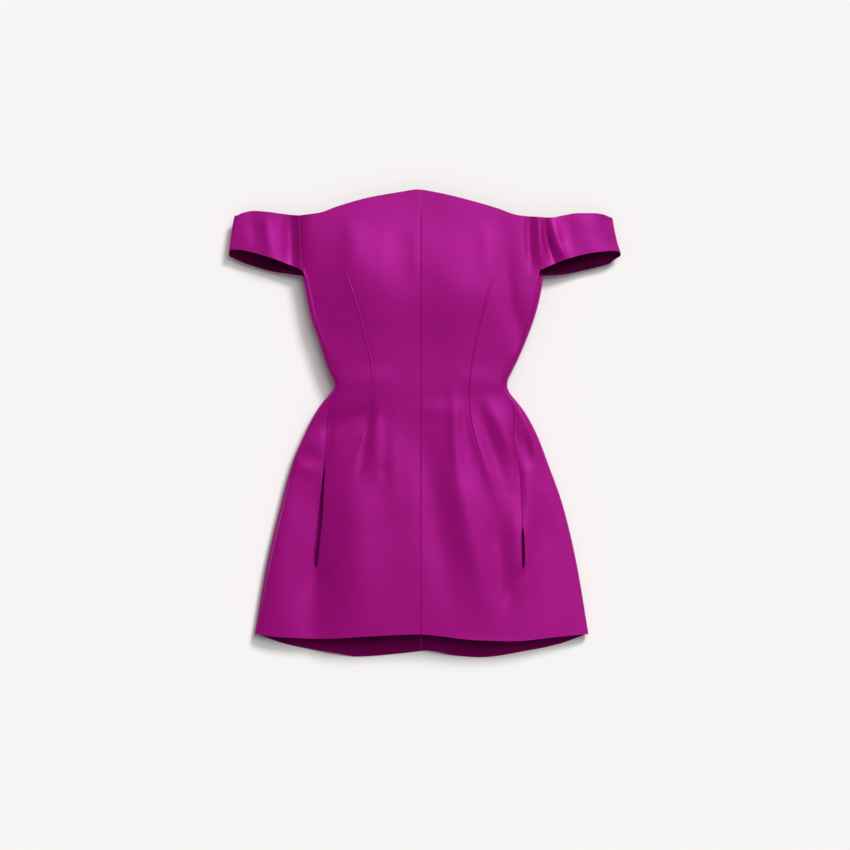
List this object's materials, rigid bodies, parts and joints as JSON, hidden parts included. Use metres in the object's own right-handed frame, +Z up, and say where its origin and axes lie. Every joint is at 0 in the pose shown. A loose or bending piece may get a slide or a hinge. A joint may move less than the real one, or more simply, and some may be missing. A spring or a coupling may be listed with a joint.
{
  "type": "off-shoulder dress",
  "caption": "Short fitted off-shoulder dress of crisp satin with band sleeves, waist darts and side-seam pockets, laid flat on its back.",
  "frame": {"origin": "bottom centre of the bounding box, on the surface that the dress lies on", "axes": "+Z up from the surface to the front of the dress, +Y from the hem to the neckline, +X to the right as seen from above with the neckline at the top"},
  "size_m": [0.6885, 0.8218, 0.0449],
  "materials": {
    "satin": "crisp satin, soft sheen",
    "pocket_cloth": "plain thin lining cloth",
    "zip_tape": "woven zip tape"
  },
  "bodies": {
    "root": {"front_left": "satin", "front_right": "satin", "back_left": "satin", "back_right": "satin", "sleeve_left": "satin", "sleeve_right": "satin", "pocket_bag_left": "pocket_cloth", "pocket_bag_right": "pocket_cloth", "back_zip": "zip_tape"}
  },
  "joints": []
}
